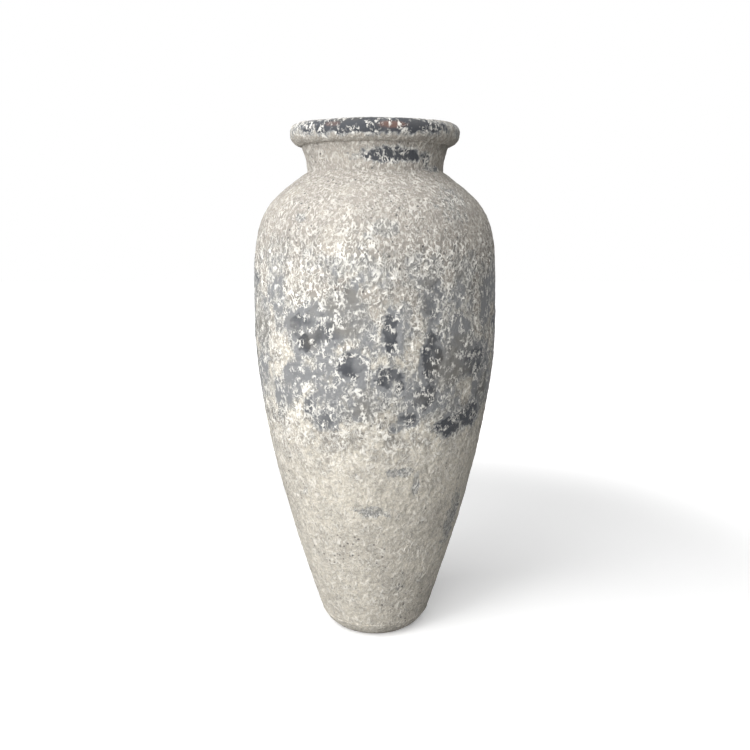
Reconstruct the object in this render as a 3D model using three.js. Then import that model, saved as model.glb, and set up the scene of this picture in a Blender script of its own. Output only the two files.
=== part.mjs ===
// A tall ceramic floor vase, built the way a potter builds one: seven clay sections set on each other,
// with bevelled edges and a thin ring of slip in each joint. Millimetres, +Z up, resting on Z = 0.
import * as THREE from "three";

// Heights and radii of the outside
const totalHeight = 800;
const footRadius = 66; // the flat that the vase rests on
const heelBevelWidth = 21.5; // the bevel between that flat and the wall
const heelHeight = 24;
const bellyRadius = 188.2;
const bellyHeight = 512;
const neckRadius = 103.4; // the narrowest point, in the crease above the shoulder
const neckLength = 39; // from that crease to the crease under the rim
const neckFlare = 8.6; // how far the neck widens on its way up
const rimHeight = 31.5;
const rimOverhang = 16.9; // how far the rim stands out from the top of the neck
const rimTopDrop = 12.5; // from the top of the lip down to its widest ring
const rimTopInset = 13.5; // from the widest ring in to the highest one

// Thicknesses
const floorThickness = 16;
const wallThickness = 12;
const neckThickness = 12;
const lipDepth = 14; // how far the lip's inner rounding reaches down
const floorFillet = 15; // the rounding between floor and wall, measured along the floor

// Joints between the sections
const lowerWallHeight = 221;
const bellySeamDrop = 41; // the belly's seam lies this far below the widest point
const shoulderHeight = 89.5; // from the shoulder's seam up to the neck
const jointRise = 8; // each joint climbs inwards, so that a section centres on the one below
const slipThickness = 1.2;

// Form of the curves
const heelBulge = 1.4; // how far the bevel swells beyond a straight cone
const wallLeanDegrees = 18.1; // the wall's lean from upright just above the heel
const shoulderSlopeDegrees = 35.7; // the shoulder's slope where it meets the neck
const heelStiffness = 0.7; // share of the lower wall that keeps the heel's lean
const underBellyFullness = 0.085; // share of it that stays upright below the belly
const overBellyFullness = 0.725; // share of the upper wall that stays upright above the belly
const neckStiffness = 0.417; // share of it that keeps the slope at the neck
const segmentsAround = 60;

const crust = { color: 0xb8b2a6, roughness: 0.95, metalness: 0 };
const darkCeramic = { color: 0x6e6f70, roughness: 0.85, metalness: 0 };
const slipClay = { color: 0x8c867c, roughness: 0.95, metalness: 0 };

// Places worked out from the sizes above
const heelRadius = footRadius + heelBevelWidth;
const rimCreaseHeight = totalHeight - rimHeight;
const rimCreaseRadius = neckRadius + neckFlare;
const neckHeight = rimCreaseHeight - neckLength;
const mouthRadius = rimCreaseRadius - neckThickness;
const seamHeights = {
  base: heelHeight,
  lower: heelHeight + lowerWallHeight,
  belly: bellyHeight - bellySeamDrop,
  shoulder: neckHeight - shoulderHeight,
  neck: neckHeight,
  rim: rimCreaseHeight,
};

const point = (radius, height) => new THREE.Vector2(radius, height);

// The wall: two curves that meet upright at the belly
function makeWallCurves() {
  const lean = THREE.MathUtils.degToRad(wallLeanDegrees);
  const slope = THREE.MathUtils.degToRad(shoulderSlopeDegrees);
  const heel = point(heelRadius, heelHeight);
  const belly = point(bellyRadius, bellyHeight);
  const neck = point(neckRadius, neckHeight);
  const lowerRun = bellyHeight - heelHeight;
  const upperRun = neckHeight - bellyHeight;
  const upFromHeel = point(Math.sin(lean), Math.cos(lean));
  const downFromNeck = point(Math.cos(slope), -Math.sin(slope));
  const lowerCurve = new THREE.CubicBezierCurve(
    heel,
    heel.clone().addScaledVector(upFromHeel, lowerRun * heelStiffness),
    point(bellyRadius, bellyHeight - lowerRun * underBellyFullness),
    belly,
  );
  const upperCurve = new THREE.CubicBezierCurve(
    belly,
    point(bellyRadius, bellyHeight + upperRun * overBellyFullness),
    neck.clone().addScaledVector(downFromNeck, upperRun * neckStiffness),
    neck,
  );
  return [lowerCurve, upperCurve];
}

// The neck: one curve that starts upright and flares towards the rim
function makeNeckCurves() {
  return [
    new THREE.QuadraticBezierCurve(
      point(neckRadius, neckHeight),
      point(neckRadius, (neckHeight + rimCreaseHeight) / 2),
      point(rimCreaseRadius, rimCreaseHeight),
    ),
  ];
}

const wallCurves = makeWallCurves();
const neckCurves = makeNeckCurves();

// The point at a place along a run of curves, set in from the surface by a depth. The whole part of
// the place counts the curves, and the rest is the share of that curve.
function pointOn(curves, place, depth) {
  const index = Math.min(Math.floor(place), curves.length - 1);
  const surface = curves[index].getPoint(place - index);
  const along = curves[index].getTangent(place - index);
  return point(surface.x - along.y * depth, surface.y + along.x * depth);
}

// The place at which a run of curves, set in by a depth, reaches a height
function placeAtHeight(curves, height, depth) {
  const halvings = 50;
  let below = 0;
  let above = curves.length;
  for (let step = 0; step < halvings; step += 1) {
    const middle = (below + above) / 2;
    if (pointOn(curves, middle, depth).y < height) below = middle;
    else above = middle;
  }
  return above;
}

// The points between two heights, both ends included
function pointsBetween(curves, fromHeight, toHeight, depth, steps) {
  const from = placeAtHeight(curves, fromHeight, depth);
  const to = placeAtHeight(curves, toHeight, depth);
  const points = [];
  for (let step = 0; step <= steps; step += 1) {
    points.push(pointOn(curves, from + ((to - from) * step) / steps, depth));
  }
  return points;
}

const wallOutside = (from, to, steps) => pointsBetween(wallCurves, from, to, 0, steps);
const wallInside = (from, to, steps) => pointsBetween(wallCurves, from, to, wallThickness, steps);
const neckOutside = (from, to, steps) => pointsBetween(neckCurves, from, to, 0, steps);
const thinned = (outside) => point(outside.x - neckThickness, outside.y);
const neckInside = (from, to, steps) => neckOutside(from, to, steps).map(thinned);

// The surfaces' points at one height. Above the crease under the rim both run straight up.
function outsideAt(height) {
  if (height >= rimCreaseHeight) return point(rimCreaseRadius, height);
  const curves = height < neckHeight ? wallCurves : neckCurves;
  return pointOn(curves, placeAtHeight(curves, height, 0), 0);
}

function insideAt(height) {
  if (height < neckHeight) {
    return pointOn(wallCurves, placeAtHeight(wallCurves, height, wallThickness), wallThickness);
  }
  return thinned(outsideAt(height));
}

// A round piece, turned from an outline that closes on itself or starts and ends on the axis
function turned(name, outline, finish) {
  const geometry = new THREE.LatheGeometry(outline, segmentsAround);
  geometry.rotateX(Math.PI / 2);
  const mesh = new THREE.Mesh(geometry, new THREE.MeshStandardMaterial(finish));
  mesh.name = name;
  return mesh;
}

const turnedRing = (name, outline, finish) => turned(name, [...outline, outline[0]], finish);

// The base: a thick dish with a bevelled heel, whose raised edge carries the wall
function makeBase() {
  const bevelSteps = 4;
  const filletSteps = 4;
  const bevel = point(heelBevelWidth, heelHeight);
  const outward = point(bevel.y, -bevel.x).normalize();
  const bevelMiddle = point(footRadius + heelBevelWidth / 2, heelHeight / 2);
  const bevelCurve = new THREE.QuadraticBezierCurve(
    point(footRadius, 0),
    bevelMiddle.addScaledVector(outward, 2 * heelBulge),
    point(heelRadius, heelHeight),
  );
  const edge = insideAt(heelHeight + jointRise);
  const lean = Math.tan(THREE.MathUtils.degToRad(wallLeanDegrees));
  const corner = point(edge.x - (edge.y - floorThickness) * lean, floorThickness);
  const filletCurve = new THREE.QuadraticBezierCurve(
    edge,
    corner,
    point(corner.x - floorFillet, floorThickness),
  );
  const outline = [
    point(0, 0),
    ...bevelCurve.getPoints(bevelSteps),
    ...filletCurve.getPoints(filletSteps),
    point(0, floorThickness),
  ];
  return turned("base", outline, darkCeramic);
}

// A ring of the wall, from the slip on one seam up to the next seam
function makeWallRing(name, seamBelow, seamAbove) {
  const outsideSteps = 5;
  const insideSteps = 4;
  const outside = wallOutside(seamBelow + slipThickness, seamAbove, outsideSteps);
  const inside = wallInside(seamBelow + slipThickness + jointRise, seamAbove + jointRise, insideSteps);
  return turnedRing(name, [...outside, ...inside.reverse()], crust);
}

// The shoulder: a dome whose thick inner edge carries the neck
function makeShoulder() {
  const outsideSteps = 7;
  const insideSteps = 6;
  const seam = seamHeights.shoulder + slipThickness;
  const slope = Math.tan(THREE.MathUtils.degToRad(shoulderSlopeDegrees));
  const throatRadius = neckRadius - neckThickness;
  const wallEnd = pointOn(wallCurves, wallCurves.length, wallThickness);
  const wholeUnderside = wallInside(seam + jointRise, wallEnd.y, insideSteps);
  const underside = wholeUnderside.filter((spot) => spot.x > throatRadius);
  const highest = underside.at(-1);
  const outline = [
    ...wallOutside(seam, neckHeight, outsideSteps),
    insideAt(neckHeight + jointRise),
    point(throatRadius, highest.y + (highest.x - throatRadius) * slope),
    ...underside.reverse(),
  ];
  return turnedRing("shoulder", outline, crust);
}

// The neck: a short concave collar
function makeNeck() {
  const steps = 4;
  const seam = neckHeight + slipThickness;
  const outline = [
    ...neckOutside(seam, rimCreaseHeight, steps),
    insideAt(rimCreaseHeight + jointRise),
    ...neckInside(seam + jointRise, rimCreaseHeight, steps).reverse(),
  ];
  return turnedRing("neck", outline, crust);
}

// The rim: a rolled lip that overhangs the neck, rounded over its top into the mouth
function makeRim() {
  const arcSteps = 6;
  const quarter = Math.PI / 2;
  const seam = rimCreaseHeight + slipThickness;
  const widestHeight = totalHeight - rimTopDrop;
  const topRadius = rimCreaseRadius + rimOverhang - rimTopInset;
  const arc = (x, y, width, height, start) =>
    new THREE.EllipseCurve(x, y, width, height, start, start + quarter).getPoints(arcSteps);
  const underside = arc(rimCreaseRadius, widestHeight, rimOverhang, widestHeight - seam, -quarter);
  const outerTop = arc(topRadius, widestHeight, rimTopInset, rimTopDrop, 0);
  const innerTop = arc(topRadius, totalHeight - lipDepth, topRadius - mouthRadius, lipDepth, quarter);
  const outline = [...underside, ...outerTop.slice(1), ...innerTop.slice(1), insideAt(seam + jointRise)];
  return turnedRing("rim", outline, darkCeramic);
}

// The slip in a joint: a thin cone between the section below and the section above
function makeSlip(joint) {
  const seam = seamHeights[joint];
  const outline = [
    outsideAt(seam),
    outsideAt(seam + slipThickness),
    insideAt(seam + jointRise + slipThickness),
    insideAt(seam + jointRise),
  ];
  return turnedRing(`${joint}_joint_slip`, outline, slipClay);
}

const group = new THREE.Group();
group.add(makeBase());
group.add(makeWallRing("lower_wall", seamHeights.base, seamHeights.lower));
group.add(makeWallRing("middle_wall", seamHeights.lower, seamHeights.belly));
group.add(makeWallRing("upper_wall", seamHeights.belly, seamHeights.shoulder));
group.add(makeShoulder(), makeNeck(), makeRim());
for (const joint of Object.keys(seamHeights)) group.add(makeSlip(joint));

export default group;
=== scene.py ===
# A tall weathered ceramic floor vase: pale stone-like crust over dark slate clay.
import math
import random

import bpy
import numpy as np
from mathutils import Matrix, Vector, noise


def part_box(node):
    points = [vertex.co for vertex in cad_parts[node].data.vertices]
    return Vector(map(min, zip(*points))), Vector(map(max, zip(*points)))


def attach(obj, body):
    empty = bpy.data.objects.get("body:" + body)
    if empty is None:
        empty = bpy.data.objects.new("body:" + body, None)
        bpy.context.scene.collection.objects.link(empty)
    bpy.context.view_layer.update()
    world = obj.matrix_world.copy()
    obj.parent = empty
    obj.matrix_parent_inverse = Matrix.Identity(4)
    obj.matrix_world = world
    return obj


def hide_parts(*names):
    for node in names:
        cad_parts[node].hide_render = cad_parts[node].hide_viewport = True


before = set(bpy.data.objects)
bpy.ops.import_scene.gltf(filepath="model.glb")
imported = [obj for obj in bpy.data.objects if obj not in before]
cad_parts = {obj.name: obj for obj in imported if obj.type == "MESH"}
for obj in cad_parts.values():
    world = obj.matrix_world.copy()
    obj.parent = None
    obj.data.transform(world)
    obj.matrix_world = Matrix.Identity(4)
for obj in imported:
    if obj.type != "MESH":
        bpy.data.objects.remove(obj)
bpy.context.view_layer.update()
print("frame loaded")

# The vase's outline in metres. What the frame holds is read from the frame.
form = {
    "footRadius": 0.066,
    "floorThickness": 0.016,
    "heelBulge": 0.0014,
    "bellyHeight": 0.512,
    "wallLean": 18.1,           # degrees from upright, above the heel
    "shoulderSlope": 35.7,      # degrees, where the shoulder meets the neck
    "heelStiffness": 0.7,
    "underBellyFullness": 0.085,
    "overBellyFullness": 0.725,
    "neckStiffness": 0.417,
    "wallThickness": 0.012,
    "jointRise": 0.008,         # each joint climbs inwards by this much
    "floorFillet": 0.015,
    "rimTopDrop": 0.0125,
    "rimTopInset": 0.0135,
    "lipDepth": 0.014,
    "skinDepth": 0.0006,        # bare clay lies this far under the crust's middle
    "lipWidth": 0.003,          # the crust hangs over each slip ring by this much
    "lipGap": 0.0003,           # and stays clear of the crust below by this much
}
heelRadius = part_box("base")[1].x
bellyRadius = max(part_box("upper_wall")[1].x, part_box("middle_wall")[1].x)
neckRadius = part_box("neck_joint_slip")[1].x
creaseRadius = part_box("rim_joint_slip")[1].x
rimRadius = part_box("rim")[1].x
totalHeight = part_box("rim")[1].z
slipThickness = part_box("lower_wall")[0].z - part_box("base_joint_slip")[0].z
joints = ["base", "lower", "belly", "shoulder", "neck", "rim"]
seams = {joint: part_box(f"{joint}_joint_slip")[0].z for joint in joints}


# Curves of the outline, as rows of radius and height
def bezier(points, steps=240):
    t = np.linspace(0, 1, steps + 1)[:, None]
    rows = [np.repeat(np.array([p], float), steps + 1, 0) for p in points]
    while len(rows) > 1:
        rows = [a * (1 - t) + b * t for a, b in zip(rows, rows[1:])]
    return rows[0]


def arc(centre, width, height, start, steps=24):    # a quarter of an ellipse, start in degrees
    angle = np.radians(np.linspace(start, start + 90, steps + 1))
    return np.stack([centre[0] + width * np.cos(angle), centre[1] + height * np.sin(angle)], 1)


def wallCurve():
    lean, slope = math.radians(form["wallLean"]), math.radians(form["shoulderSlope"])
    heel = np.array([heelRadius, seams["base"]])
    belly = np.array([bellyRadius, form["bellyHeight"]])
    neck = np.array([neckRadius, seams["neck"]])
    lowerRun, upperRun = belly[1] - heel[1], neck[1] - belly[1]
    heelHandle = heel + np.array([math.sin(lean), math.cos(lean)]) * lowerRun * form["heelStiffness"]
    lowHandle = belly - np.array([0, lowerRun * form["underBellyFullness"]])
    highHandle = belly + np.array([0, upperRun * form["overBellyFullness"]])
    neckHandle = neck + np.array([math.cos(slope), -math.sin(slope)]) * upperRun * form["neckStiffness"]
    lower = bezier([heel, heelHandle, lowHandle, belly])
    upper = bezier([belly, highHandle, neckHandle, neck])
    return np.concatenate([lower, upper[1:]])


def neckCurve():
    middle = [neckRadius, (seams["neck"] + seams["rim"]) / 2]
    return bezier([[neckRadius, seams["neck"]], middle, [creaseRadius, seams["rim"]]])


def setIn(curve, depth):                            # the curve moved towards the hollow
    along = np.gradient(curve, axis=0)
    along /= np.linalg.norm(along, axis=1)[:, None]
    return curve + np.stack([-along[:, 1], along[:, 0]], 1) * depth


def spread(curve, spacing):                         # the same curve with evenly spaced points
    lengths = np.concatenate([[0], np.cumsum(np.linalg.norm(np.diff(curve, axis=0), axis=1))])
    places = np.linspace(0, lengths[-1], max(2, round(lengths[-1] / spacing) + 1))
    return np.stack([np.interp(places, lengths, curve[:, side]) for side in (0, 1)], 1)


def between(curve, low, high, spacing):
    ends = [[np.interp(height, curve[:, 1], curve[:, 0]), height] for height in (low, high)]
    inner = curve[(curve[:, 1] > low) & (curve[:, 1] < high)]
    return spread(np.concatenate([ends[:1], inner, ends[1:]]), spacing)


wallOutside, neckOutside = wallCurve(), neckCurve()
wallSkin, neckSkin = setIn(wallOutside, form["skinDepth"]), setIn(neckOutside, form["skinDepth"])
wallHollow = setIn(wallOutside, form["wallThickness"])
neckHollow = neckOutside - np.array([form["wallThickness"], 0])

# Where the crust has come away from the clay. Each patch has its degrees round from the front, its
# height, width and tallness in metres, and how bare it is.
barePatches = [
    (-27, 0.508, 0.085, 0.050, 0.80), (-32, 0.488, 0.022, 0.026, 1.00), (-15, 0.505, 0.014, 0.028, 0.7),
    (-10, 0.462, 0.042, 0.036, 0.85), (-10, 0.560, 0.018, 0.036, 0.75), (-21, 0.470, 0.030, 0.030, 0.5),
    (6.5, 0.505, 0.020, 0.066, 0.95), (6, 0.445, 0.038, 0.030, 0.90), (10.7, 0.432, 0.014, 0.022, 1.0),
    (26, 0.548, 0.036, 0.050, 0.80), (25, 0.472, 0.030, 0.072, 0.95), (23, 0.414, 0.038, 0.036, 0.9),
    (15, 0.382, 0.026, 0.020, 0.85), (9.3, 0.369, 0.018, 0.013, 0.8), (37, 0.365, 0.046, 0.028, 1.0),
    (52, 0.374, 0.054, 0.034, 1.00), (52, 0.458, 0.074, 0.046, 0.85), (62, 0.415, 0.050, 0.040, 0.8),
    (-37, 0.443, 0.040, 0.022, 0.70), (-31, 0.399, 0.017, 0.030, 0.8), (-24, 0.378, 0.034, 0.026, 0.8),
    (-56, 0.417, 0.050, 0.034, 0.45), (-7, 0.387, 0.016, 0.012, 0.7), (3, 0.448, 0.026, 0.014, 0.8),
    (-62, 0.520, 0.040, 0.060, 0.60), (40, 0.505, 0.030, 0.040, 0.6), (60, 0.545, 0.036, 0.060, 0.7),
    (4, 0.649, 0.032, 0.022, 0.55), (-3, 0.638, 0.010, 0.010, 0.6), (-37, 0.663, 0.017, 0.010, 0.5),
    (44, 0.680, 0.060, 0.040, 0.35), (15, 0.300, 0.022, 0.014, 0.6), (9.5, 0.300, 0.018, 0.012, 0.6),
    (22, 0.276, 0.010, 0.040, 0.55), (-1, 0.236, 0.050, 0.016, 0.4), (58, 0.200, 0.030, 0.090, 0.5),
]
neckPatches = [
    (14, 0.750, 0.096, 0.018, 1.0), (45, 0.744, 0.014, 0.015, 0.9), (56, 0.732, 0.034, 0.009, 0.8),
]
rimPatches = [
    (-2, 0.789, 0.250, 0.022, 1.0), (75, 0.789, 0.050, 0.020, 0.6), (120, 0.791, 0.120, 0.020, 0.8),
    (-150, 0.790, 0.160, 0.022, 0.9), (-85, 0.788, 0.050, 0.012, 0.5), (170, 0.786, 0.060, 0.026, 0.7),
]
rustPatches = [
    (10.6, 0.789, 0.030, 0.008, 1.0), (-28, 0.791, 0.020, 0.006, 0.5), (133, 0.790, 0.030, 0.008, 0.8),
]

# More patches on the sides and the back, most of them small
scattered = {
    "seed": 41, "count": 70,
    "beyond": 66,               # degrees round from the front on either side that stay clear
    "low": 0.355, "high": 0.600,
    "smallest": 0.014, "wider": 0.050, "taller": 0.055,
    "leastBare": 0.5,
}


def scatterPatches(values):
    dice = random.Random(values["seed"])
    made = []
    for _ in range(values["count"]):
        turn = values["beyond"] + dice.random() * (360 - 2 * values["beyond"])
        height = values["low"] + dice.random() * (values["high"] - values["low"])
        wide = values["smallest"] + values["wider"] * dice.random() ** 2
        tall = values["smallest"] + values["taller"] * dice.random() ** 1.5
        bare = values["leastBare"] + (1 - values["leastBare"]) * dice.random()
        made.append((turn, height, wide, tall, bare))
    return made


allPatches = barePatches + neckPatches + rimPatches + scatterPatches(scattered)


def smooth(value, low, high):
    share = np.clip((value - low) / (high - low), 0, 1)
    return share * share * (3 - 2 * share)


def noiseAt(places, size, shift=0.0):               # smooth noise from -1 to 1, with lumps of that size
    offset = Vector((shift, 2 * shift, -shift))
    return np.array([noise.noise(Vector(p) / size + offset) for p in places])


# A patch reaches past its width by its reach, and fades over its fade, both counted in half widths.
# The ragged edge is noise of two sizes.
patchEdge = {
    "reach": 1.62, "fade": 0.85, "rustShare": 0.8,
    "broadRags": 0.34, "broadSize": 0.011,
    "fineRags": 0.30, "fineSize": 0.0045, "fineShift": 7.3,
}


def raggedness(places, values):
    broad = values["broadRags"] * noiseAt(places, values["broadSize"])
    return broad + values["fineRags"] * noiseAt(places, values["fineSize"], values["fineShift"])


# How far each point lies inside the patches, from 0 to 1
def patchShare(places, patches, ragged):
    around = np.degrees(np.arctan2(places[:, 0], -places[:, 1]))
    radius = np.hypot(places[:, 0], places[:, 1])
    share = np.zeros(len(places))
    for turn, height, wide, tall, strength in patches:
        away = np.radians((around - turn + 180) % 360 - 180) * radius / (wide / 2)
        up = (places[:, 2] - height) / (tall / 2)
        inside = patchEdge["reach"] - np.sqrt(away ** 2 + up ** 2) + ragged
        share = np.maximum(share, strength * smooth(inside, 0, patchEdge["fade"]))
    return share


# Shaping: an outline is drawn point by point and spun round the axis
spinning = {"steps": 624, "weld": 1e-5, "start": 0.01}


def spinPiece(name, outline):
    bpy.ops.object.select_all(action="DESELECT")
    radius, height = outline[0]
    bpy.ops.mesh.primitive_plane_add(size=spinning["start"], location=(radius, 0, height))
    piece = bpy.context.object
    piece.name = name
    piece.data.name = name
    bpy.ops.object.transform_apply(location=True, rotation=True, scale=True)
    bpy.ops.object.mode_set(mode="EDIT")
    bpy.ops.mesh.select_all(action="SELECT")
    bpy.ops.mesh.merge(type="CENTER")
    for here, there in zip(outline, outline[1:]):
        step = (there[0] - here[0], 0, there[1] - here[1])
        bpy.ops.mesh.extrude_region_move(TRANSFORM_OT_translate={"value": step})
    bpy.ops.mesh.select_all(action="SELECT")
    bpy.ops.mesh.remove_doubles(threshold=spinning["weld"])
    bpy.ops.object.mode_set(mode="OBJECT")
    turn = piece.modifiers.new("turn", "SCREW")
    turn.steps = turn.render_steps = spinning["steps"]
    turn.use_merge_vertices = True
    turn.merge_threshold = spinning["weld"]
    bpy.ops.object.modifier_apply(modifier="turn")
    bpy.ops.object.mode_set(mode="EDIT")
    bpy.ops.mesh.select_all(action="SELECT")
    bpy.ops.mesh.remove_doubles(threshold=spinning["weld"])
    bpy.ops.mesh.normals_make_consistent(inside=False)
    bpy.ops.object.mode_set(mode="OBJECT")
    return piece


# The relief that the modifiers press into the skin, in metres. The group says where each one acts.
relief = {
    "swell": {"kind": "CLOUDS", "size": 0.090, "depth": 1, "strength": 0.0016, "group": "skin"},
    "sheet": {"strength": 0.0007, "group": "crust"},
    "curls": {"kind": "MUSGRAVE", "size": 0.0075, "intensity": 0.5, "strength": 0.0015, "group": "curl"},
    "lumps": {"kind": "CLOUDS", "size": 0.0060, "depth": 2, "strength": 0.0010, "group": "crust"},
    "pits": {"kind": "VORONOI", "size": 0.0140, "intensity": 1.2, "strength": 0.0009, "group": "crust"},
    "grain": {"kind": "CLOUDS", "size": 0.0030, "depth": 1, "strength": 0.0004, "group": "skin"},
}


def reliefTexture(name, values):
    texture = bpy.data.textures.new(name, values["kind"])
    texture.noise_scale = values["size"]
    if values["kind"] == "CLOUDS":
        texture.noise_depth = values["depth"]
    if values["kind"] == "MUSGRAVE":
        texture.musgrave_type = "RIDGED_MULTIFRACTAL"
        texture.octaves = 2
    if values["kind"] != "CLOUDS":
        texture.noise_intensity = values["intensity"]
    return texture


reliefTextures = {name: reliefTexture(name, values) for name, values in relief.items() if "kind" in values}
weightLevels = 24       # a group's weights go in so many steps


def paintGroup(piece, name, weights):
    group = piece.vertex_groups.new(name=name)
    levels = np.round(weights * weightLevels).astype(int)
    for level in range(1, weightLevels + 1):
        members = np.flatnonzero(levels == level)
        if len(members):
            group.add(members.tolist(), level / weightLevels, "REPLACE")


def keepAttribute(piece, name, values):
    attribute = piece.data.attributes.new(name, "FLOAT", "POINT")
    attribute.data.foreach_set("value", np.asarray(values, np.float32))


def readPlaces(piece):
    places = np.zeros(len(piece.data.vertices) * 3, np.float32)
    piece.data.vertices.foreach_get("co", places)
    return places.reshape(-1, 3).astype(float)


def readNormals(piece):
    normals = np.zeros(len(piece.data.vertices) * 3, np.float32)
    piece.data.vertex_normals.foreach_get("vector", normals)
    return normals.reshape(-1, 3).astype(float)


# How strong the curls are up the vase: strongest round the belly
curlHeights = [0.0, 0.10, 0.25, 0.34, 0.40, 0.58, 0.64, 0.70, 0.76, 0.80]
curlWeights = [0.45, 0.50, 0.60, 0.75, 1.0, 1.0, 0.65, 0.35, 0.45, 0.60]
fullRise = 0.0016       # the relief that the material takes as 1
creaseAngle = 60        # degrees; flatter edges are shaded smooth


# The outline point that each vertex came from
def nearestOnOutline(places, outline, block=20000):
    flat = np.stack([np.hypot(places[:, 0], places[:, 1]), places[:, 2]], 1)
    nearest = np.zeros(len(flat), int)
    for start in range(0, len(flat), block):
        gaps = np.linalg.norm(flat[start:start + block, None] - outline[None], axis=2)
        nearest[start:start + block] = gaps.argmin(1)
    return nearest


# Crust: skin says how much each outline point belongs to the outside
def growCrust(piece, outline, skin):
    places = readPlaces(piece)
    outside = np.asarray(skin)[nearestOnOutline(places, outline)]
    ragged = raggedness(places, patchEdge)
    bare = patchShare(places, allPatches, ragged)
    rust = patchShare(places, rustPatches, ragged * patchEdge["rustShare"])
    crust = outside * (1 - bare)
    paintGroup(piece, "skin", outside)
    paintGroup(piece, "crust", crust)
    paintGroup(piece, "curl", crust * np.interp(places[:, 2], curlHeights, curlWeights))
    normals = readNormals(piece)
    for name, values in relief.items():
        press = piece.modifiers.new(name, "DISPLACE")
        press.strength = values["strength"]
        press.vertex_group = values["group"]
        press.mid_level = 0.5 if name in reliefTextures else 0.0
        if name in reliefTextures:
            press.texture = reliefTextures[name]
            press.texture_coords = "LOCAL"
        bpy.ops.object.modifier_apply(modifier=name)
    risen = ((readPlaces(piece) - places) * normals).sum(1)
    keepAttribute(piece, "bare", bare)
    keepAttribute(piece, "rust", rust)
    keepAttribute(piece, "inside", 1 - outside)
    keepAttribute(piece, "risen", np.clip(risen / fullRise, -1, 1.5))
    piece.vertex_groups.clear()
    bpy.ops.object.shade_smooth_by_angle(angle=math.radians(creaseAngle))


def crustedPiece(name, outline, skin):
    piece = spinPiece(name, outline)
    growCrust(piece, outline, skin)
    return piece


# The sections from the heel up to the rim, with the distance between the points of their outlines
ringForms = {
    "lower_wall": {"below": "base", "above": "lower", "skin": 0.0019, "hollow": 0.008},
    "middle_wall": {"below": "lower", "above": "belly", "skin": 0.0019, "hollow": 0.008},
    "upper_wall": {"below": "belly", "above": "shoulder", "skin": 0.0018, "hollow": 0.008},
    "shoulder": {"below": "shoulder", "above": "neck", "skin": 0.0016, "hollow": 0.006},
    "neck": {"below": "neck", "above": "rim", "skin": 0.0014, "hollow": 0.005},
}
throat = (wallHollow[:, 1] > form["bellyHeight"]) & (wallHollow[:, 0] < neckHollow[0, 0])
hollow = np.concatenate([wallHollow[~throat], neckHollow])


# A ring's outline: up the outside, over the joint, down the inside, and back under the lip
def makeRing(name, values, outsideCurve, hollowCurve):
    rise, lip = form["jointRise"], form["lipWidth"]
    low, high = seams[values["below"]], seams[values["above"]]
    skin = between(outsideCurve, low, high, values["skin"])
    inner = between(hollowCurve, low + rise + slipThickness, high + rise, values["hollow"])[::-1]
    tuckHeight = low + lip * rise / form["wallThickness"]
    tuck = np.array([[skin[0][0] - lip, tuckHeight + gap] for gap in (slipThickness, form["lipGap"])])
    outline = np.concatenate([skin, inner, tuck, skin[:1]])
    weights = [1.0] * len(skin) + [0.0] * (len(inner) + len(tuck)) + [1.0]
    return crustedPiece(f"crusted_{name}", outline, weights)


# The rim: a rolled lip, whose relief fades out down the throat
rimForm = {"skin": 0.0013, "throat": 0.0016, "tuckHeight": 0.002, "fade": 0.7}


def makeRim(values):
    seam, drop, inset = seams["rim"], form["rimTopDrop"], form["rimTopInset"]
    widest, mouth = totalHeight - drop, creaseRadius - form["wallThickness"]
    topRadius = rimRadius - inset
    depth, lip = form["skinDepth"], form["lipDepth"]
    under = arc((creaseRadius, widest), rimRadius - creaseRadius - depth, widest - seam, -90)
    outer = arc((topRadius, widest), inset - depth, drop - depth, 0)
    inner = arc((topRadius, totalHeight - lip), topRadius - mouth, lip - depth, 90)
    foot = seam + form["jointRise"] + slipThickness
    skin = spread(np.concatenate([under, outer[1:]]), values["skin"])
    inside = spread(np.concatenate([inner, [[mouth, foot]]]), values["throat"])[1:]
    tuckRadius, tuckHeight = skin[0][0] - form["lipWidth"], seam + values["tuckHeight"]
    tuck = np.array([[tuckRadius, tuckHeight + gap] for gap in (slipThickness, form["lipGap"])])
    outline = np.concatenate([skin, inside, tuck, skin[:1]])
    fade = np.linspace(1, 0, len(inside)) ** values["fade"]
    weights = [1.0] * len(skin) + list(fade) + [0.0] * len(tuck) + [1.0]
    return crustedPiece("crusted_rim", outline, weights)


# The base: a dish with a bevelled heel. The crust starts just above the flat that it rests on.
baseForm = {
    "bevel": 0.0014, "dish": 0.003, "underRings": 8, "floorRings": 7,
    "crustFrom": 0.0002, "crustFull": 0.005,
}


def makeBase(values):
    floor, rise = form["floorThickness"], form["jointRise"]
    foot, heel = np.array([form["footRadius"], 0]), np.array([heelRadius, seams["base"]])
    across = heel - foot
    outward = np.array([across[1], -across[0]]) / np.linalg.norm(across)
    swell = (foot + heel) / 2 + outward * 2 * form["heelBulge"]
    bevel = spread(bezier([foot, swell, heel]), values["bevel"])
    edgeHeight = seams["base"] + rise
    edge = np.array([np.interp(edgeHeight, hollow[:, 1], hollow[:, 0]), edgeHeight])
    corner = np.array([edge[0] - (edge[1] - floor) * math.tan(math.radians(form["wallLean"])), floor])
    dish = spread(bezier([edge, corner, corner - np.array([form["floorFillet"], 0])]), values["dish"])
    bottom = np.linspace([0, 0], foot, values["underRings"] + 1)[:-1]
    top = np.linspace([dish[-1][0], floor], [0, floor], values["floorRings"] + 1)[1:]
    outline = np.concatenate([bottom, bevel, dish, top])
    skin = smooth(bevel[:, 1], values["crustFrom"], values["crustFull"])
    weights = [0.0] * len(bottom) + list(skin) + [0.0] * (len(dish) + len(top))
    return crustedPiece("crusted_base", outline, weights)


# Slip: a cone ring behind the lip of crust, squeezed out as a bead on the inside
slipForm = {
    "setBack": 0.0036, "bead": 0.0016, "beadHeight": 0.0024, "beadSteps": 5,
    "clearance": 0.0001, "creaseAngle": 40,
}


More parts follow.
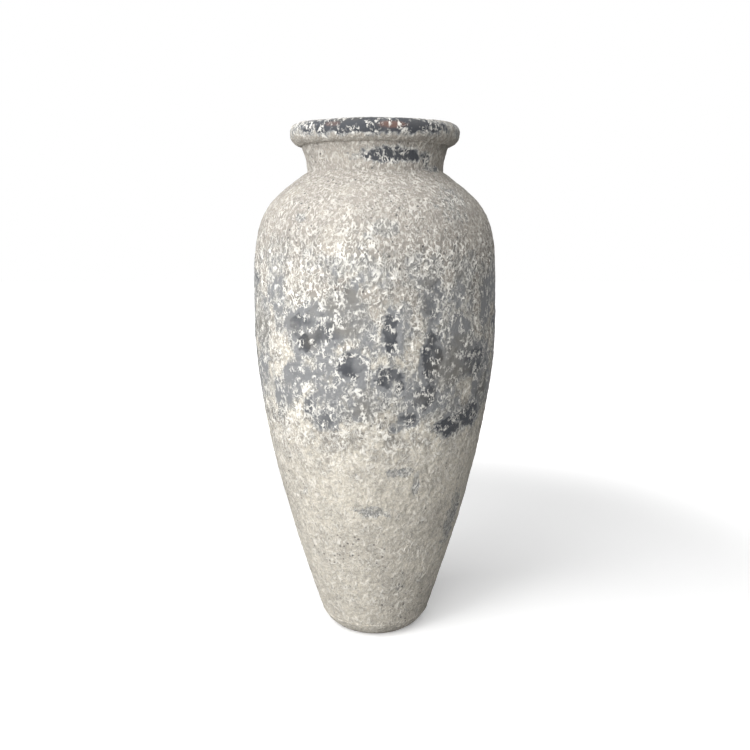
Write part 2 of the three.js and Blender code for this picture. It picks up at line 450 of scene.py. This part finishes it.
def makeSlip(joint, values):
    low, rise, gap = seams[joint], form["jointRise"], values["clearance"]
    outside = np.concatenate([wallOutside, neckOutside[1:]])
    outer = np.interp(low, outside[:, 1], outside[:, 0]) - values["setBack"]
    inner = np.interp(low + rise, hollow[:, 1], hollow[:, 0])
    start = low + values["setBack"] * rise / form["wallThickness"]
    middle = (inner, low + rise + slipThickness / 2)
    beadTop = arc(middle, values["bead"], values["beadHeight"], 90, values["beadSteps"])
    beadFoot = arc(middle, values["bead"], values["beadHeight"], 180, values["beadSteps"])
    outline = [[outer, start + gap], [outer, start + slipThickness - gap]]
    outline += beadTop.tolist() + beadFoot[1:].tolist() + [[outer, start + gap]]
    piece = spinPiece(f"{joint}_slip_bead", outline)
    bpy.ops.object.shade_smooth_by_angle(angle=math.radians(values["creaseAngle"]))
    return piece


# Shader formulas: a socket that can be written with + - * /
class Sock:
    def __init__(self, shader, socket):
        self.shader, self.socket = shader, socket

    def math(self, operation, *others):
        return self.shader.math(operation, self, *others)

    def __add__(self, other):
        return self.math("ADD", other)

    def __sub__(self, other):
        return self.math("SUBTRACT", other)

    def __rsub__(self, other):
        return self.shader.math("SUBTRACT", other, self)

    def __mul__(self, other):
        return self.math("MULTIPLY", other)

    __radd__, __rmul__ = __add__, __mul__


class Shader:
    def __init__(self, owner):                      # a material or the world
        self.owner = owner
        self.owner.use_nodes = True
        self.tree = self.owner.node_tree

    def feed(self, socket, value):
        if isinstance(value, Sock):
            self.tree.links.new(value.socket, socket)
        else:
            socket.default_value = value

    def node(self, kind, settings, inputs, output=0):
        made = self.tree.nodes.new(kind)
        for name, value in settings.items():
            setattr(made, name, value)
        for name, value in inputs.items():
            self.feed(made.inputs[name], value)
        return Sock(self, made.outputs[output])

    def math(self, operation, *values):
        return self.node("ShaderNodeMath", {"operation": operation}, dict(enumerate(values)))

    def most(self, *values):
        found = values[0]
        for value in values[1:]:
            found = self.math("MAXIMUM", found, value)
        return found

    def places(self):
        return self.node("ShaderNodeTexCoord", {}, {}, "Object")

    def attribute(self, name):
        return self.node("ShaderNodeAttribute", {"attribute_name": name}, {}, "Fac")

    def noise(self, places, perMetre, detail, distortion=0.0):
        inputs = {"Vector": places, "Scale": perMetre, "Detail": detail, "Distortion": distortion}
        return self.node("ShaderNodeTexNoise", {}, inputs)

    def cells(self, places, perMetre):
        inputs = {"Vector": places, "Scale": perMetre}
        return self.node("ShaderNodeTexVoronoi", {"feature": "F1"}, inputs, "Distance")

    def step(self, value, low, high):
        inputs = {"Value": value, "From Min": low, "From Max": high}
        return self.node("ShaderNodeMapRange", {"interpolation_type": "SMOOTHSTEP"}, inputs)

    def mix(self, share, first, second):            # two colours
        settings = {"data_type": "RGBA", "clamp_factor": True}
        return self.node("ShaderNodeMix", settings, {0: share, 6: first, 7: second}, 2)

    def shift(self, places, offset):
        return self.node("ShaderNodeVectorMath", {"operation": "ADD"}, {0: places, 1: offset})

    def stretch(self, places, factors):
        return self.node("ShaderNodeVectorMath", {"operation": "MULTIPLY"}, {0: places, 1: factors})

    def finish(self, colour, roughness, bumps, shine):
        surface = self.tree.nodes["Principled BSDF"]
        self.feed(surface.inputs["Base Color"], colour)
        self.feed(surface.inputs["Roughness"], roughness)
        self.feed(surface.inputs["Normal"], self.node("ShaderNodeBump", {}, bumps))
        self.feed(surface.inputs["Specular IOR Level"], shine)

    def line(self, field, thin, thick):             # curly lines where a noise field crosses its middle
        return 1 - self.step((field - 0.5).math("ABSOLUTE"), thin, thick)


def newShader(name):
    return Shader(bpy.data.materials.new(name))


# A colour as a screen shows it, turned into the linear one that a socket takes
def paint(hexColour):
    parts = [int(hexColour[i:i + 2], 16) / 255 for i in (0, 2, 4)]
    linear = [c / 12.92 if c <= 0.04045 else ((c + 0.055) / 1.055) ** 2.4 for c in parts]
    return (*linear, 1.0)


# The crusted ceramic: chalky curls and flakes over ash-grey and beige crust, worn to grey in places,
# and slate clay where it is bare
crustLook = {
    # ash: crust grey at random, and also painted shade where the relief is low
    "warm": "98928a", "cool": "cfc8ba", "chalk": "e8e5de", "ash": "7b7873",
    "pebble": "989690", "dust": "8a8883", "slate": "7a7b7c", "soot": "3f4145",
    "olive": "6e685b", "rust": "65504a", "innerClay": "8a7f72",
    "bumpDepth": 0.0012, "bumpStrength": 0.8, "shine": 0.25,
}
# The heights in metres between which a look comes in or goes out
crustHeights = {
    "livelyFrom": (0.28, 0.38), "livelyTo": (0.59, 0.67),
    "wornFrom": (0.35, 0.41), "wornTo": (0.575, 0.64),
    "warmFrom": (0.40, 0.60),
}
# How many lumps each noise has to the metre
crustGrain = {
    "regions": 11, "wornPlaces": 22, "patches": 42, "breaks": 62, "sparseFlakes": 85,
    "curls": 92, "pits": 95, "wear": 140, "smallCurls": 150, "mottle": 170,
    "chips": 250, "specks": 270, "fine": 420, "grain": 1100,
}
flakeStretch = (1, 1, 0.62)     # flakes run a little up and down the wall


def crustedCeramic(look, heights, grain):
    s = newShader("crusted_ceramic_finish")
    spot = s.places()
    drawn = s.stretch(spot, flakeStretch)
    height = s.node("ShaderNodeSeparateXYZ", {}, {0: spot}, "Z")
    bare, inside, risen = s.attribute("bare"), s.attribute("inside"), s.attribute("risen")
    lively = s.step(height, *heights["livelyFrom"]) * (1 - s.step(height, *heights["livelyTo"]))
    lively = lively * 0.65 + 0.35
    belt = s.step(height, *heights["wornFrom"]) * (1 - s.step(height, *heights["wornTo"]))

    # Flakes, hollows and pits, with painted shade where the relief is low
    broad = s.noise(spot, grain["regions"], 3)
    patchy = s.noise(s.shift(spot, (3, 1, 2)), grain["patches"], 3)
    fine = s.noise(spot, grain["fine"], 3)
    dusty = s.noise(spot, grain["grain"], 2)
    curls = s.line(s.noise(drawn, grain["curls"], 1.5, 0.7), 0.014, 0.050)
    smallCurls = s.line(s.noise(s.shift(drawn, (5, 7, 1)), grain["smallCurls"], 1, 1.2), 0.014, 0.055)
    breaks = s.step(s.noise(s.shift(spot, (9, 2, 4)), grain["breaks"], 2), 0.44, 0.58)
    chips = s.step(s.noise(s.shift(drawn, (1, 8, 3)), grain["chips"], 2), 0.53, 0.60)
    fleck = s.most(curls * breaks, smallCurls * (1 - breaks) * 0.9, chips * (0.4 + 0.6 * breaks))
    # Painted shade: flakes are dimmer where the relief is low
    fleck = fleck * (0.45 + 0.55 * s.step(risen, -0.3, 0.8))
    # hollow: grey patches at random, plus painted shade where the relief is low
    hollow = s.step(patchy, 0.46, 0.60) * 0.65 + (1 - s.step(risen, -0.2, 0.6)) * 0.55
    pitHoles = 1 - s.step(s.cells(s.shift(spot, (2, 4, 6)), grain["pits"]), 0.10, 0.20)
    pits = pitHoles * s.step(broad, 0.48, 0.56)

    # The crust: paler and cooler low down, darker and warmer on the shoulder and the neck
    warmth = s.step(height, *heights["warmFrom"]) * 0.8 + s.step(broad, 0.40, 0.62) * 0.35
    mottle = s.step(s.noise(s.shift(spot, (6, 3, 8)), grain["mottle"], 2), 0.50, 0.62)
    crust = s.mix(warmth, paint(look["cool"]), paint(look["warm"]))
    # Greys the crust in the hollows: partly grey at random, partly painted shade in the low relief
    crust = s.mix(hollow * lively, crust, paint(look["ash"]))
    crust = s.mix(s.step(fine, 0.40, 0.60) * 0.30, crust, paint(look["ash"]))
    crust = s.mix(mottle * 0.34, crust, paint(look["ash"]))
    crust = s.mix(fleck * (0.25 + 0.75 * lively), crust, paint(look["chalk"]))
    crust = s.mix(pits * 0.7, crust, paint(look["soot"]))

    # Worn crust: grey with dark specks, and flakes left on it
    worn = s.mix(s.step(broad, 0.35, 0.65), paint(look["pebble"]), paint(look["dust"]))
    worn = s.mix(s.step(patchy, 0.42, 0.62) * 0.5, worn, paint(look["slate"]))
    specks = s.step(s.noise(s.shift(drawn, (3, 3, 9)), grain["specks"], 2), 0.50, 0.60)
    worn = s.mix(specks * 0.40, worn, paint(look["soot"]))
    worn = s.mix(fleck * 0.9, worn, paint(look["chalk"]))

    # Bare clay: slate, darkest in the middle of a patch, with a few flakes
    deep = s.step(bare + (patchy - 0.5) * 0.6, 0.66, 0.98)
    clay = s.mix(deep, paint(look["slate"]), paint(look["soot"]))
    clay = s.mix(s.step(broad, 0.5, 0.7) * 0.5, clay, paint(look["olive"]))
    clay = s.mix(s.attribute("rust"), clay, paint(look["rust"]))
    clusters = s.step(s.noise(s.shift(spot, (4, 4, 9)), grain["sparseFlakes"], 2), 0.46, 0.60)
    sparse = s.most(chips, smallCurls) * clusters
    clay = s.mix(sparse * 0.8, clay, paint(look["chalk"]))

    # From crust through worn crust to bare clay, with broken edges
    wornPlaces = belt * s.step(s.noise(s.shift(drawn, (7, 7, 2)), grain["wornPlaces"], 3), 0.38, 0.54)
    rough = (fine - 0.5) * 0.4 + (patchy - 0.5) * 0.5 + (s.noise(drawn, grain["wear"], 2) - 0.5) * 1.1
    wear = bare + wornPlaces * 0.74 + rough
    bareness = s.step(wear, 0.48, 0.82)
    innerClay = s.mix(s.step(patchy, 0.3, 0.7) * 0.6, paint(look["innerClay"]), paint(look["olive"]))
    colour = s.mix(s.step(wear, 0.14, 0.42), crust, worn)
    colour = s.mix(bareness, colour, clay)
    colour = s.mix(inside, colour, innerClay)

    rise = fleck * (1 - bareness) * 0.7 + fine * 0.6 + dusty * 0.25 - pits * 0.8 + sparse * bareness * 0.5
    bumps = {"Strength": look["bumpStrength"], "Distance": look["bumpDepth"], "Height": rise}
    s.finish(colour, 0.94 - bareness * 0.22 + (fine - 0.5) * 0.1, bumps, look["shine"])
    return s.owner


# The slip: matt fired clay, smeared darker in places
slipLook = {
    "clay": "8f877b", "dark": "6b655b", "smears": 60, "grain": 700,
    "bumpDepth": 0.0005, "bumpStrength": 0.6, "shine": 0.25,
}


def firedSlip(look):
    s = newShader("fired_slip_finish")
    spot = s.places()
    smear, fine = s.noise(spot, look["smears"], 4), s.noise(spot, look["grain"], 2)
    colour = s.mix(s.step(smear, 0.35, 0.65), paint(look["clay"]), paint(look["dark"]))
    rise = smear * 0.7 + fine * 0.4
    bumps = {"Strength": look["bumpStrength"], "Distance": look["bumpDepth"], "Height": rise}
    s.finish(colour, 0.9 - fine * 0.1, bumps, look["shine"])
    return s.owner


def dress(piece, material, node):
    piece.data.materials.clear()
    piece.data.materials.append(material)
    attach(piece, "root")
    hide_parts(node)


crustMaterial = crustedCeramic(crustLook, crustHeights, crustGrain)
slipMaterial = firedSlip(slipLook)
dress(makeBase(baseForm), crustMaterial, "base")
print("base made")
for node, values in ringForms.items():
    curves = (neckSkin, neckHollow) if node == "neck" else (wallSkin, hollow)
    dress(makeRing(node, values, *curves), crustMaterial, node)
    print(node, "made")
dress(makeRim(rimForm), crustMaterial, "rim")
print("rim made")
for joint in joints:
    dress(makeSlip(joint, slipForm), slipMaterial, f"{joint}_joint_slip")
print("slip made")

# Camera and light
cameraView = {"place": (0, -1.340, 0.669), "pitch": 10.8, "lens": 40.8, "sensor": 36}


def makeCamera(view):
    data = bpy.data.cameras.new("camera")
    data.lens, data.sensor_width = view["lens"], view["sensor"]
    camera = bpy.data.objects.new("camera", data)
    camera.location = view["place"]
    camera.rotation_euler = (math.radians(90 - view["pitch"]), 0, 0)
    bpy.context.scene.collection.objects.link(camera)
    bpy.context.scene.camera = camera


# Lamps: degrees round from the front and up from level, metres away and wide, and watts
softBoxes = {
    "key_soft_box": {"turn": -56, "tilt": 46, "away": 1.9, "size": 1.8, "power": 38},
    "fill_soft_box": {"turn": -26, "tilt": 10, "away": 2.2, "size": 2.2, "power": 66},
    "top_soft_box": {"turn": 66, "tilt": 64, "away": 2.0, "size": 2.2, "power": 24},
}
lampAim = Vector((0, 0, 0.36))


def makeSoftBox(name, box):
    data = bpy.data.lights.new(name, "AREA")
    data.shape, data.size, data.energy = "SQUARE", box["size"], box["power"]
    lamp = bpy.data.objects.new(name, data)
    turn, tilt = math.radians(box["turn"]), math.radians(box["tilt"])
    towards = Vector((math.sin(turn) * math.cos(tilt), -math.cos(turn) * math.cos(tilt), math.sin(tilt)))
    lamp.location = lampAim + towards * box["away"]
    lamp.rotation_euler = towards.to_track_quat("Z", "Y").to_euler()
    bpy.context.scene.collection.objects.link(lamp)


# The floor glows a little, so that it is white where no shadow falls, and more from farFrom to farTo.
# It throws less light back at the vase than it shows to the camera.
studio = {
    "ambient": 0.04, "floorSize": 14, "floorShown": 0.98, "floorBounce": 0.35,
    "floorGlow": 0.20, "farGlow": 0.9, "farFrom": 0.7, "farTo": 1.5,
}


def seenDirectly(s):
    path = s.tree.nodes.new("ShaderNodeLightPath")
    rays = [Sock(s, path.outputs[f"Is {kind} Ray"]) for kind in ("Camera", "Glossy", "Transmission")]
    return s.most(*rays)


def makeFloor(values):
    bpy.ops.object.select_all(action="DESELECT")
    bpy.ops.mesh.primitive_plane_add(size=values["floorSize"], location=(0, 0, 0))
    floor = bpy.context.object
    floor.name = "studio_floor"
    s = newShader("studio_floor_white")
    away = s.node("ShaderNodeVectorMath", {"operation": "LENGTH"}, {0: s.places()}, "Value")
    glow = values["floorGlow"] + s.step(away, values["farFrom"], values["farTo"]) * values["farGlow"]
    shown, bouncing = [s.node("ShaderNodeBsdfDiffuse", {}, {"Color": (grey, grey, grey, 1)})
                       for grey in (values["floorShown"], values["floorBounce"])]
    glowing = s.node("ShaderNodeEmission", {}, {"Strength": glow})
    lit = s.node("ShaderNodeAddShader", {}, {0: shown, 1: glowing})
    both = s.node("ShaderNodeMixShader", {}, {0: seenDirectly(s), 1: bouncing, 2: lit})
    s.feed(s.tree.nodes["Material Output"].inputs["Surface"], both)
    floor.data.materials.append(s.owner)


def makeWorld(values):
    world = bpy.data.worlds.new("studio_white")
    bpy.context.scene.world = world
    s = Shader(world)
    backdrop = s.tree.nodes["Background"]
    seen = seenDirectly(s)
    s.feed(backdrop.inputs["Strength"], values["ambient"] + seen * (1 - values["ambient"]))
    s.feed(backdrop.inputs["Color"], (1, 1, 1, 1))


makeCamera(cameraView)
for name, box in softBoxes.items():
    makeSoftBox(name, box)
makeFloor(studio)
makeWorld(studio)
bpy.context.scene.view_settings.view_transform = "Standard"
print("studio made")
